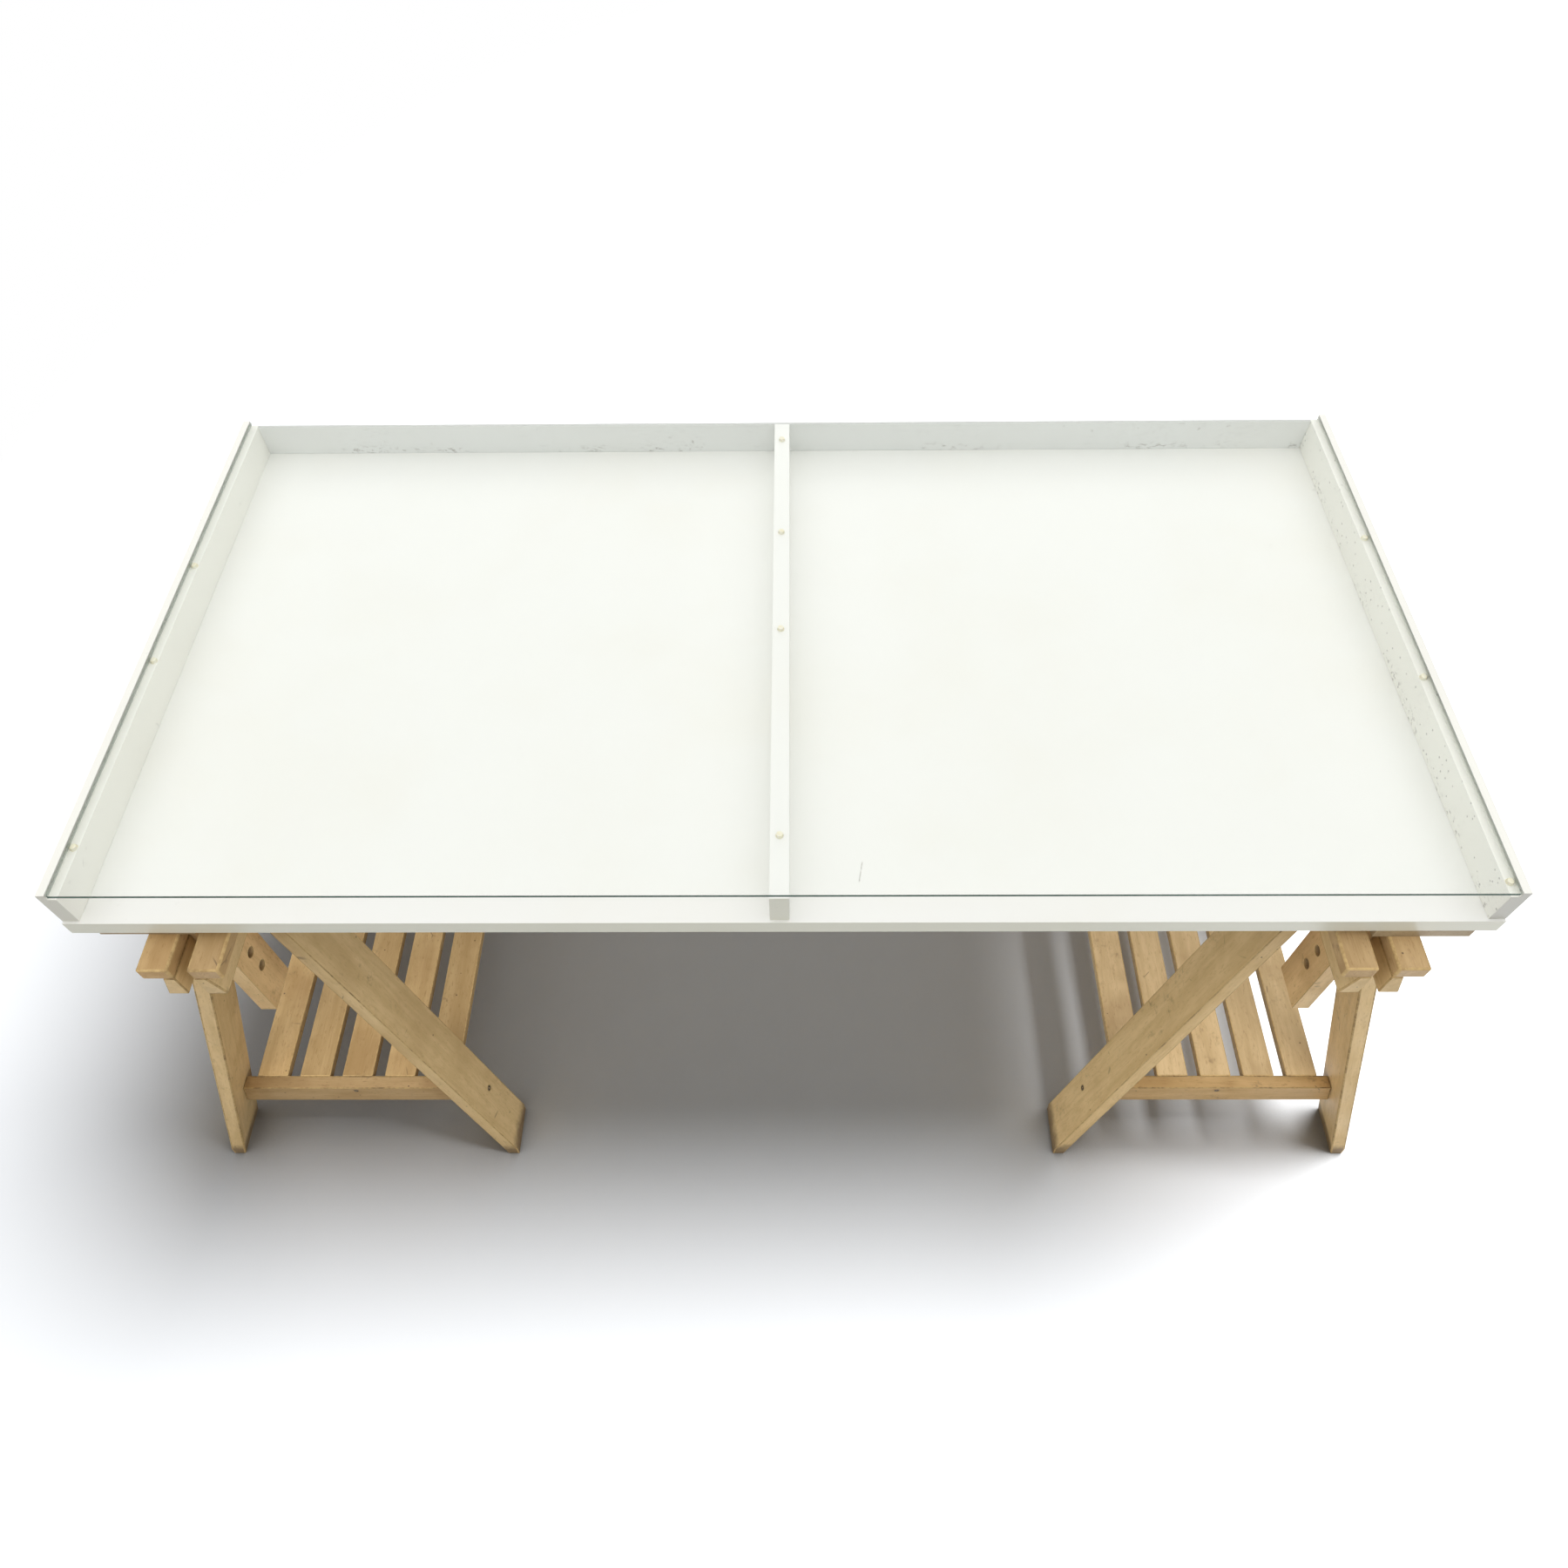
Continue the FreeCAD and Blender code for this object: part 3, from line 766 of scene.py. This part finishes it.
@dataclass(frozen=True)
class GlassFinish:
    """Clear float glass, green in the depth of its cut edge."""

    tint: Colour = (0.992, 0.995, 0.990)
    gloss: Colour = (0.9, 0.95, 0.93)
    edge: Colour = (0.014, 0.092, 0.056)
    edge_share: float = 0.96
    # Seen from within, the cut edge keeps these shares of its dark by side: painted shade.
    left_share: float = 0.45
    right_share: float = 0.08
    far_share: float = 0.15
    edge_roughness: float = 0.22
    edge_specular: float = 0.12
    edge_relief: float = 0.1 * MM
    ior: float = 1.5
    smear: Pattern = Pattern(7.0, 4.0, 0.6)
    grit: Pattern = Pattern(700.0, 2.0, 0.5)

    def material(self, name: str) -> Material:
        """Make the finish: clear faces and dark green cut edges, fainter where seen from within, by a share
        that differs by side as painted shade.

        Args:
            name: Name of the material.

        Returns:
            The material.
        """
        nodes = Nodes.material(name)
        place = nodes.place()
        clear = nodes.fed("ShaderNodeBsdfTransparent", {"Color": rgba(self.tint)})
        gloss = nodes.fed("ShaderNodeBsdfGlossy", {
            "Color": rgba(self.gloss),
            "Roughness": nodes.ramp(nodes.noise(place, *self.smear), 0.4, 0.75, 0.015, 0.07)})
        sheen = nodes.fed("ShaderNodeFresnel", {"IOR": self.ior})
        facing = nodes.add("ShaderNodeNewGeometry")
        entering = nodes.math("SUBTRACT", 1.0, facing.outputs["Backfacing"])
        pane = nodes.blend(nodes.math("MULTIPLY", sheen.outputs[0], entering), clear, gloss)
        ground = nodes.fed("ShaderNodeBsdfPrincipled", {
            "Base Color": rgba(self.edge),
            "Roughness": self.edge_roughness,
            "Specular IOR Level": self.edge_specular,
            "Normal": nodes.bump(nodes.noise(place, *self.grit), self.edge_relief, 0.3)})
        outward = nodes.split(facing.outputs["True Normal"])
        cut = nodes.ramp(nodes.math("ABSOLUTE", outward["Z"]), 0.25, 0.9, self.edge_share, 0.0)
        # Painted shade: seen from within, the cut edge keeps most of its dark on the left, less at the back,
        # least on the right.
        within = nodes.ramp(outward["X"], -1.0, 1.0, self.right_share, self.left_share)
        crosswise = nodes.ramp(nodes.math("ABSOLUTE", outward["Y"]), 0.0, 1.0)
        within = nodes.math("ADD", nodes.math("MULTIPLY", within, nodes.math("SUBTRACT", 1.0, crosswise)),
                            nodes.math("MULTIPLY", crosswise, self.far_share))
        lost = nodes.math("MULTIPLY", facing.outputs["Backfacing"], nodes.math("SUBTRACT", 1.0, within))
        cut = nodes.math("MULTIPLY", cut, nodes.math("SUBTRACT", 1.0, lost))
        return nodes.surface(nodes.blend(cut, pane, ground))


@dataclass(frozen=True)
class BumperFinish:
    """Clear soft plastic, yellowed with age, with a painted darker rim where it turns away from view."""

    body: Colour = (0.92, 0.90, 0.78)
    aged: Colour = (0.86, 0.82, 0.62)
    # Colour of the painted shade at the rim, where the surface turns from view.
    rim: Colour = (0.66, 0.57, 0.30)
    rim_blend: float = 0.4
    cloud: Pattern = Pattern(320.0, 2.0, 0.5)
    roughness: float = 0.28
    glow: float = 0.25
    glow_reach: Triple = (3 * MM, 2.4 * MM, 1.2 * MM)
    relief: float = 0.1 * MM

    def material(self, name: str) -> Material:
        """Make the finish.

        Args:
            name: Name of the material.

        Returns:
            The material.
        """
        nodes = Nodes.material(name)
        cloud = nodes.noise(nodes.place(), *self.cloud)
        # Painted shade: towards the rim, where the surface turns from view, the colour goes to the darker
        # rim colour.
        sheen = nodes.fed("ShaderNodeLayerWeight", {"Blend": self.rim_blend})
        aged = nodes.mix(nodes.ramp(cloud, 0.35, 0.7), rgba(self.body), rgba(self.aged))
        return nodes.surface(nodes.fed("ShaderNodeBsdfPrincipled", {
            "Base Color": nodes.mix(sheen.outputs["Facing"], aged, rgba(self.rim)),
            "Roughness": self.roughness,
            "Subsurface Weight": self.glow,
            "Subsurface Radius": self.glow_reach,
            "Normal": nodes.bump(cloud, self.relief, 0.2)}))


@dataclass(frozen=True)
class ScrewFinish:
    """Dulled steel of a countersunk screw head."""

    steel: Colour = (0.20, 0.185, 0.165)
    rust: Colour = (0.10, 0.055, 0.03)
    metallic: float = 0.8
    stain: Pattern = Pattern(600.0, 3.0, 0.6)
    relief: float = 0.1 * MM

    def material(self, name: str) -> Material:
        """Make the finish.

        Args:
            name: Name of the material.

        Returns:
            The material.
        """
        nodes = Nodes.material(name)
        stain = nodes.noise(nodes.place(), *self.stain)
        return nodes.surface(nodes.fed("ShaderNodeBsdfPrincipled", {
            "Base Color": nodes.mix(nodes.ramp(stain, 0.42, 0.66), rgba(self.steel), rgba(self.rust)),
            "Metallic": self.metallic,
            "Roughness": nodes.ramp(stain, 0.3, 0.7, 0.35, 0.65),
            "Normal": nodes.bump(stain, self.relief, 0.4)}))


def dress(node: str, material: Material, easing: float, edge: Material | None = None, bored: bool = False
          ) -> None:
    """Give a frame node its finish and eased edges.

    Args:
        node: Name of the node.
        material: Its finish.
        easing: Width of the eased edge in metres.
        edge: Finish of the eased edges, where it differs.
        bored: Whether holes go through it, so that its flat faces are joined before the easing.
    """
    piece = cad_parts[node]
    piece.data.materials.clear()
    piece.data.materials.append(material)
    if easing > 0:
        weld = piece.modifiers.new("joined corners", "WELD")
        weld.merge_threshold = WELD_REACH
        if bored:
            flats = piece.modifiers.new("joined flats", "DECIMATE")
            flats.decimate_type = "DISSOLVE"
            flats.angle_limit = FLAT_ANGLE
        ease = piece.modifiers.new("eased edges", "BEVEL")
        ease.width = easing
        ease.segments = EASED_FACETS
        ease.limit_method = "ANGLE"
        ease.angle_limit = EASED_ANGLE
        ease.harden_normals = True
        if edge is not None:
            piece.data.materials.append(edge)
            ease.material = 1
    LOG.info("dressed %s", node)


@dataclass
class ScrewHead:
    """Countersunk cross-head screw in a dark ring of worn wood that also paints the shade of its countersunk
    hole.
    """

    radius: float = 3.4 * MM
    hole_radius: float = 4.6 * MM
    depth: float = 1.2 * MM
    proud: float = 0.25 * MM
    slot_reach: float = 2.3 * MM
    slot_half: float = 0.45 * MM
    slot_floor: float = 0.8
    rim_bands: int = 4

    def build(self, name: str, place: Vector, normal: Vector, body: str, steel: Material, rim: Material
              ) -> None:
        """Make one screw head with a cross recess.

        Args:
            name: Name of the piece.
            place: Middle of the head on the wood's surface.
            normal: Direction out of the wood.
            body: Body that it moves with.
            steel: Finish of the head.
            rim: Finish of the dark ring round the head, worn wood that also paints the hole's shade.
        """
        mesh = bmesh.new()
        rings = [[mesh.verts.new(point) for point in ring] for ring in self.rings()]
        count = len(rings[0])
        for step, (ring, after) in enumerate(zip(rings, rings[1:])):
            for index in range(count):
                nxt = (index + 1) % count
                face = mesh.faces.new((ring[index], ring[nxt], after[nxt], after[index]))
                # The outer bands take the rim finish: a dark ring that paints the countersunk hole's shade.
                face.material_index = 1 if step < self.rim_bands else 0
        mesh.faces.new(rings[-1])
        mesh.faces.new(list(reversed(rings[0])))
        bmesh.ops.recalc_face_normals(mesh, faces=mesh.faces)
        data = bpy.data.meshes.new(name)
        mesh.to_mesh(data)
        mesh.free()
        data.materials.append(steel)
        data.materials.append(rim)
        piece = bpy.data.objects.new(name, data)
        bpy.context.scene.collection.objects.link(piece)
        turn = Vector((0, 0, 1)).rotation_difference(normal.normalized())
        piece.matrix_world = Matrix.Translation(place) @ turn.to_matrix().to_4x4()
        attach(piece, body)
        LOG.info("built %s", name)

    def rings(self) -> list[list[Triple]]:
        """Points of the rings that the head is made of.

        Returns:
            The rings, from the buried end over the rim and the head down into the cross recess.
        """
        cross = self.cross_outline()
        angles = [math.atan2(y, x) for x, y in cross]
        profile = ((self.radius * 0.45, -self.depth), (self.hole_radius, -self.depth / 2),
                   (self.hole_radius, self.proud / 2), (self.radius * 1.06, self.proud * 0.8),
                   (self.radius, self.proud * 0.2), (self.radius * 0.94, self.proud))
        rings = [[(reach * math.cos(a), reach * math.sin(a), z) for a in angles] for reach, z in profile]
        rings.append([(x, y, self.proud) for x, y in cross])
        rings.append([(x * self.slot_floor, y * self.slot_floor, -self.depth * 0.4) for x, y in cross])
        return rings

    def cross_outline(self) -> list[tuple[float, float]]:
        """Corners of the cross recess.

        Returns:
            The corners, in order round the head.
        """
        arm = [(self.slot_reach, -self.slot_half), (self.slot_reach, self.slot_half),
               (self.slot_half, self.slot_half)]
        points = []
        for quarter in range(4):
            turn = math.radians(90 * quarter)
            cos, sin = math.cos(turn), math.sin(turn)
            points.extend((x * cos - y * sin, x * sin + y * cos) for x, y in arm)
        return points


@dataclass
class DisplayTray:
    """White tray with divider, bumpers and packing boards, under a loose glass."""

    easing: float = 0.5 * MM
    cleat_easing: float = 0.8 * MM
    glass_easing: float = 0.5 * MM
    nick: tuple[float, float] = (0.0862, -0.2945)
    aged_white: Colour = (0.885, 0.878, 0.812)
    back_white: Colour = (0.770, 0.785, 0.772)
    back_cream: Colour = (0.755, 0.762, 0.740)
    # Darker mark colour, also used for the dust and painted shade in corners.
    dark_mark: Colour = (0.30, 0.28, 0.25)
    floor_end: Colour = (0.850, 0.848, 0.745)
    shaded_end: Colour = (0.620, 0.610, 0.560)
    cleat: BirchFinish = BirchFinish(tone=0.74, warmth=0.82)

    def finishes(self) -> dict[str, LacquerFinish]:
        """The white finishes.

        Returns:
            A finish for each node.
        """
        return {
            "tray_floor": LacquerFinish(nick=self.nick, cut=self.floor_end),
            "tray_divider": LacquerFinish(cut=self.floor_end),
            "left_tray_wall": LacquerFinish(white=self.aged_white, marks=0.45, patches=0.50),
            "right_tray_wall": LacquerFinish(
                white=self.aged_white, cut=self.shaded_end, mark=self.dark_mark, marks=0.60, patches=0.46,
                scuffed_side=(-1.0, 0.0, 0.0), specks=0.60),
            "back_tray_wall": LacquerFinish(
                white=self.back_white, cream=self.back_cream, mark=self.dark_mark, marks=0.60, patches=0.46,
                scuffed_side=(0.0, -1.0, 0.0), raw_edge=True)}

    def dress(self) -> None:
        """Put the finishes on the tray's nodes."""
        for node, finish in self.finishes().items():
            dress(node, finish.material(f"lacquer_{node}"), self.easing)
        birch = self.cleat.material("birch_cleat", Grain.ALONG_Y)
        for side in Side:
            dress(f"{side.word}_tray_cleat", birch, self.cleat_easing)
        dress("glass_bumpers", BumperFinish().material("aged_bumper"), 0.0)
        dress("glass_top", GlassFinish().material("clear_glass"), self.glass_easing)


@dataclass
class TrestleHead:
    """Rising head: two rails clasping the drilled posts."""

    side: Side
    easing: float = 2.6 * MM
    post_easing: float = 0.8 * MM

    def dress(self, finish: TrestleFinish) -> None:
        """Put the finishes on the head's nodes.

        Args:
            finish: The trestle's birch.
        """
        word = self.side.word
        rails = finish.head.material(f"birch_{word}_head", Grain.ALONG_Y)
        posts = finish.post.material(f"birch_{word}_post", Grain.ALONG_Z)
        edge = finish.head.edge(f"birch_{word}_head_edge")
        for row in Row:
            dress(f"{word}_{row.word}_head_rail", rails, self.easing, edge)
        for end in End:
            dress(f"{word}_{end.word}_post", posts, self.post_easing, edge, bored=True)


@dataclass
class TrestleBase:
    """Standing base: splayed legs, bevelled rails and the slatted shelf."""

    side: Side
    easing: float = 2.0 * MM
    slat_easing: float = 1.4 * MM
    slats: int = 5
    screw: ScrewHead = field(default_factory=ScrewHead)
    slat_screw_drop: float = 9 * MM
    top_slack: float = 0.1 * MM

    def dress(self, finish: TrestleFinish, edge: Material) -> None:
        """Put the finishes on the base's nodes.

        Args:
            finish: The trestle's birch.
            edge: Finish of the eased edges.
        """
        word = self.side.word
        slats = finish.shelf.material(f"birch_{word}_slat", Grain.ALONG_Y)
        slat_edge = finish.shelf.edge(f"birch_{word}_slat_edge")
        rails = finish.legs.material(f"birch_{word}_base_rail", Grain.ALONG_Y)
        across = finish.rail.material(f"birch_{word}_shelf_rail", Grain.ALONG_X)
        for row in Row:
            dress(f"{word}_{row.word}_base_rail", rails, self.easing, edge)
            facing = row.value * self.side.value
            for end in End:
                name = f"{word}_{row.word}_{end.word}_leg"
                grain = finish.legs.material(f"birch_{name}", Grain.ALONG_LEG, facing, end.value)
                dress(name, grain, self.easing, edge)
        for end in End:
            dress(f"{word}_{end.word}_spacer", rails, self.slat_easing)
            dress(f"{word}_{end.word}_shelf_rail", across, self.easing, edge)
        for number in range(1, self.slats + 1):
            dress(f"{word}_shelf_slat_{number}", slats, self.slat_easing, slat_edge)

    def fix(self, steel: Material, rim: Material) -> None:
        """Screw the legs to the shelf rails, and the rails to the middle slat.

        Args:
            steel: Finish of the screws.
            rim: Finish of the dark rings round them, worn wood that also paints the holes' shade.
        """
        word = self.side.word
        for end in End:
            low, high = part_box(f"{word}_{end.word}_shelf_rail")
            middle = (low + high) / 2
            for row in Row:
                facing = row.value * self.side.value
                normal = Vector((facing * math.cos(LEG_LEAN), 0.0, math.sin(LEG_LEAN)))
                corner = f"{word}_{row.word}_{end.word}"
                place = self.leg_face(f"{corner}_leg", facing, middle.y, middle.z)
                self.screw.build(f"{corner}_screw", place, normal, self.side.base, steel, rim)
            face = low.y if end is End.FRONT else high.y
            outward = Vector((0.0, float(end.value), 0.0))
            place = Vector((middle.x, face, high.z - self.slat_screw_drop))
            self.screw.build(f"{word}_{end.word}_slat_screw", place, outward, self.side.base, steel, rim)

    def leg_face(self, leg: str, facing: int, y: float, z: float) -> Vector:
        """Point on a leg's outer face at a depth and a height.

        Args:
            leg: Name of the leg's node.
            facing: Sign of X on the leg's outer side.
            y: Depth of the point.
            z: Height of the point.

        Returns:
            The point.
        """
        points = [v.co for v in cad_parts[leg].data.vertices]
        top = max(p.z for p in points)
        upper = max(facing * p.x for p in points if p.z > top - self.top_slack)
        return Vector((facing * (upper + (top - z) * math.tan(LEG_LEAN)), y, z))


class Reach(Enum):
    """Which pieces a lamp lights, as words in the names of the frame's nodes.

    The floor has no such words. TABLE leaves out the glass, or those lamps would show in it as white
    patches.
    """

    FLOOR = ()
    TABLE = ("tray", "bumper", "head_rail", "leg", "base_rail", "shelf", "spacer", "post")
    UPPER = ("tray", "glass", "head_rail")
    TRAY = ("tray",)
    UNDER = ("leg", "base_rail", "shelf", "spacer", "post", "head_rail")
    STAND = ("leg", "base_rail", "shelf_rail", "spacer", "post")
    SLATS = ("slat",)

    def pieces(self, floor: Piece) -> list[Piece]:
        """The pieces that the lamp lights.

        Args:
            floor: The studio's floor.

        Returns:
            The pieces.
        """
        if self is Reach.FLOOR:
            return [floor]
        return [piece for name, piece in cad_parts.items() if any(word in name for word in self.value)]


@dataclass(frozen=True)
class Lamp:
    """A broad, distant studio lamp; a distant lamp's place doesn't matter."""

    kind: ClassVar[str] = "SUN"
    name: str
    strength: float
    angle: float
    reach: Reach
    way: Triple = (0.0, 0.0, -1.0)
    colour: Colour = (1.0, 1.0, 1.0)
    place: Triple = (0.0, 0.0, 0.0)

    def broaden(self, light: bpy.types.Light) -> None:
        """Make the light as broad as the lamp's angle."""
        light.angle = math.radians(self.angle)

    def build(self, floor: Piece) -> None:
        """Hang the lamp and limit it to its pieces.

        Args:
            floor: The studio's floor.
        """
        light = bpy.data.lights.new(self.name, self.kind)
        light.energy = self.strength
        light.color = self.colour
        self.broaden(light)
        lamp = bpy.data.objects.new(self.name, light)
        bpy.context.scene.collection.objects.link(lamp)
        lamp.location = self.place
        lamp.rotation_euler = Vector(self.way).to_track_quat("-Z", "Y").to_euler()
        lit = bpy.data.collections.new(f"{self.name}_lit")
        for piece in self.reach.pieces(floor):
            lit.objects.link(piece)
        lamp.light_linking.receiver_collection = lit


@dataclass(frozen=True)
class NearLamp(Lamp):
    """A round lamp that hangs over the floor; its angle is the one it fills, seen from the floor."""

    kind: ClassVar[str] = "POINT"

    def broaden(self, light: bpy.types.Light) -> None:
        """Make the light as broad as the lamp's angle from the floor below it."""
        light.shadow_soft_size = self.place[2] * math.tan(math.radians(self.angle / 2))


@dataclass
class Studio:
    """White floor, soft light and the camera."""

    image: float = 1800.0
    focal: float = 1307.2
    sensor: float = 36.0
    optical_centre: float = 845.0
    eye: Triple = (0.0165, -0.8960, 1.800)
    right: Triple = (0.99995, 0.00303, -0.00975)
    up: Triple = (0.00331, 0.80699, 0.59056)
    floor_reach: float = 3.5
    floor_sides: int = 96
    floor_drop: float = 0.2 * MM
    lamps: tuple[Lamp, ...] = (
        NearLamp("floor_key", 2150.0, 37.0, Reach.FLOOR, place=(1.60, 0.95, 5.2)),
        Lamp("sky", 2.50, 130.0, Reach.UPPER, (0.0, -0.04, -1.0)),
        Lamp("top", 2.60, 44.0, Reach.STAND, (0.0, 0.05, -1.0)),
        Lamp("shelf", 2.90, 50.0, Reach.SLATS, (0.0, 1.0, -1.2)),
        Lamp("front", 0.26, 50.0, Reach.TABLE, (0.0, 1.0, -0.06), (1.0, 0.96, 0.74)),
        Lamp("back", 0.60, 50.0, Reach.TABLE, (0.0, -1.0, -0.25)),
        Lamp("left", 0.45, 50.0, Reach.TRAY, (1.0, 0.10, -0.10)),
        Lamp("right", 0.45, 50.0, Reach.TRAY, (-1.0, 0.10, -0.10)),
        Lamp("low_left", 1.00, 50.0, Reach.UNDER, (1.0, 0.40, -0.35)),
        Lamp("low_right", 0.95, 50.0, Reach.UNDER, (-1.0, 0.40, -0.35)))
    ambient: float = 0.16
    backdrop: Colour = (1.0, 1.0, 1.0)
    floor_seen: Colour = (0.929, 0.952, 0.980)
    # Colour of the painted contact shadow near the table's feet.
    floor_contact: Colour = (0.400, 0.408, 0.416)
    contact_reach: float = 110 * MM
    contact_samples: int = 8
    floor_bounce: Colour = (0.32, 0.32, 0.32)

    def build(self) -> None:
        """Lay the floor, hang the light and set the camera."""
        self.light(self.floor())
        self.camera()

    def floor(self) -> Piece:
        """Lay a pale floor that keeps the table's shadow, and a painted contact shadow that darkens it close
        to the table's feet.

        Returns:
            The floor.
        """
        mesh = bmesh.new()
        bmesh.ops.create_circle(mesh, cap_ends=True, segments=self.floor_sides, radius=self.floor_reach)
        data = bpy.data.meshes.new("studio_floor")
        mesh.to_mesh(data)
        mesh.free()
        floor = bpy.data.objects.new("studio_floor", data)
        bpy.context.scene.collection.objects.link(floor)
        under = self.lamps[0].place
        floor.location = (under[0], under[1], -self.floor_drop)
        nodes = Nodes.material("studio_floor")
        # Painted shadow: the floor darkens towards the contact colour where the table's feet stand close.
        clear = nodes.ramp(nodes.openness(self.contact_reach, self.contact_samples), 0.35, 1.0)
        shown = nodes.mix(clear, rgba(self.floor_contact), rgba(self.floor_seen))
        data.materials.append(nodes.surface(nodes.fed("ShaderNodeBsdfDiffuse", {
            "Color": nodes.mix(nodes.seen(), rgba(self.floor_bounce), shown)})))
        return floor

    def light(self, floor: Piece) -> None:
        """Hang the lamps, and light the rest from an even world.

        Args:
            floor: The studio's floor.
        """
        for lamp in self.lamps:
            lamp.build(floor)
        nodes = Nodes(bpy.data.worlds.new("studio"), "ShaderNodeOutputWorld")
        bpy.context.scene.world = nodes.surface(nodes.fed("ShaderNodeBackground", {
            "Color": rgba(self.backdrop),
            "Strength": nodes.ramp(nodes.seen(), 0.0, 1.0, self.ambient, 1.0)}))
        bpy.context.scene.view_settings.view_transform = "Standard"

    def camera(self) -> None:
        """The camera, high in front of the table and looking down on it."""
        lens = bpy.data.cameras.new("camera")
        lens.sensor_width = self.sensor
        lens.lens = self.focal / self.image * self.sensor
        lens.shift_y = (self.optical_centre - self.image / 2) / self.image
        lens.dof.use_dof = False
        camera = bpy.data.objects.new("camera", lens)
        bpy.context.scene.collection.objects.link(camera)
        right = Vector(self.right).normalized()
        up = Vector(self.up).normalized()
        turn = Matrix((right, up, right.cross(up))).transposed()
        camera.matrix_world = Matrix.Translation(self.eye) @ turn.to_4x4()
        bpy.context.scene.camera = camera


def main() -> None:
    """Dress the table, add its fixings and set the studio."""
    logging.basicConfig(level=logging.INFO, format="%(name)s: %(message)s")
    edge = BirchFinish().edge("birch_edge")
    steel = ScrewFinish().material("dull_screw")
    DisplayTray().dress()
    for side in Side:
        TrestleHead(side).dress(TRESTLE_FINISHES[side])
        base = TrestleBase(side)
        base.dress(TRESTLE_FINISHES[side], edge)
        base.fix(steel, edge)
    Studio().build()


if __name__ == "__main__":
    main()
